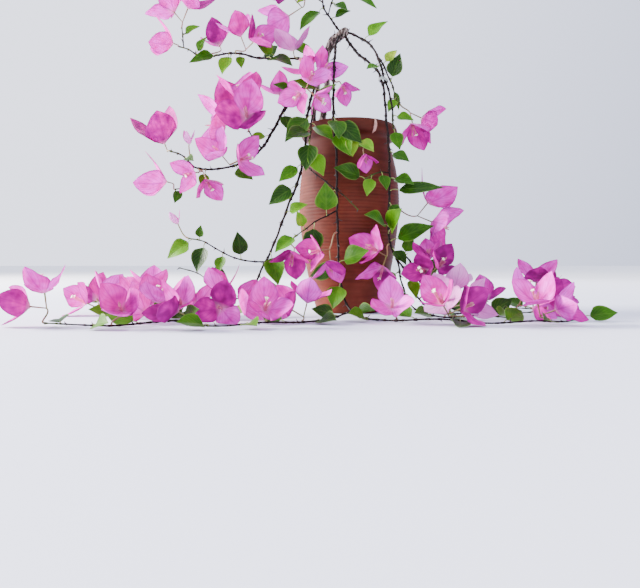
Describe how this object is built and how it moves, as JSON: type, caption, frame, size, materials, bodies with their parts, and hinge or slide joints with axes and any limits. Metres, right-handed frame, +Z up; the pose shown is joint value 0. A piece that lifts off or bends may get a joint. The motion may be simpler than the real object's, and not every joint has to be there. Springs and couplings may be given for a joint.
{
  "type": "flowering bonsai in a pot",
  "caption": "Small twisted trunk with arching and trailing thorny whips, ovate leaves and papery three-bract flowers, in a round-bellied stoneware pot.",
  "frame": {"origin": "middle of the pot's foot, on the surface that it stands on", "axes": "+Z up along the pot's axis; the front faces -Y; +X is to the right seen from the front"},
  "size_m": [0.6088, 0.2957, 0.456],
  "materials": {
    "clay": "unglazed reddish-brown stoneware, matte, finely turned",
    "soil": "damp potting soil",
    "bark": "rough grey-brown bark",
    "leafy": "green leaves on dark woody stems, faintly glossy",
    "bract": "papery magenta bracts with a cream tube flower",
    "pale": "papery pale pink bracts with a cream tube flower",
    "tie": "pale soft tie"
  },
  "bodies": {
    "root": {"pot": "clay", "soil": "soil", "trunk": "bark", "shoot_top": "leafy", "branch_upper_left": "leafy", "branch_left": "leafy", "shoot_rim": "leafy", "arch_right": "leafy", "arch_right_inner": "leafy", "whip_right_middle": "leafy", "whip_right_outer": "leafy", "whip_front": "leafy", "whip_front_left": "leafy", "whip_left": "leafy", "whip_left_lower": "leafy", "blooms_shoot_top_1": "bract", "blooms_branch_upper_left_1": "bract", "blooms_branch_upper_left_2": "bract", "blooms_branch_upper_left_3": "bract", "blooms_branch_upper_left_4": "pale", "blooms_branch_upper_left_5": "bract", "blooms_branch_left_1": "bract", "blooms_branch_left_2": "pale", "blooms_branch_left_3": "bract", "blooms_branch_left_4": "bract", "blooms_branch_left_5": "bract", "blooms_branch_left_6": "bract", "blooms_branch_left_7": "bract", "blooms_shoot_rim_1": "bract", "blooms_arch_right_1": "bract", "blooms_arch_right_2": "bract", "blooms_arch_right_3": "pale", "blooms_arch_right_4": "bract", "blooms_arch_right_inner_1": "bract", "blooms_whip_right_middle_1": "bract", "blooms_whip_right_middle_2": "bract", "blooms_whip_right_outer_1": "bract", "blooms_whip_right_outer_2": "bract", "blooms_whip_right_outer_3": "bract", "blooms_whip_front_1": "bract", "blooms_whip_front_2": "bract", "blooms_whip_front_3": "bract", "blooms_whip_front_4": "bract", "blooms_whip_front_5": "bract", "blooms_whip_front_6": "bract", "blooms_whip_front_7": "bract", "blooms_whip_front_left_1": "bract", "blooms_whip_front_left_2": "bract", "blooms_whip_front_left_3": "bract", "blooms_whip_left_1": "bract", "blooms_whip_left_2": "bract", "blooms_whip_left_3": "bract", "blooms_whip_left_4": "bract", "blooms_whip_left_5": "bract", "blooms_whip_left_6": "pale", "blooms_whip_left_lower_1": "bract", "blooms_whip_left_lower_2": "bract", "blooms_whip_left_lower_3": "bract", "blooms_whip_left_lower_4": "bract", "tie": "tie"}
  },
  "joints": []
}
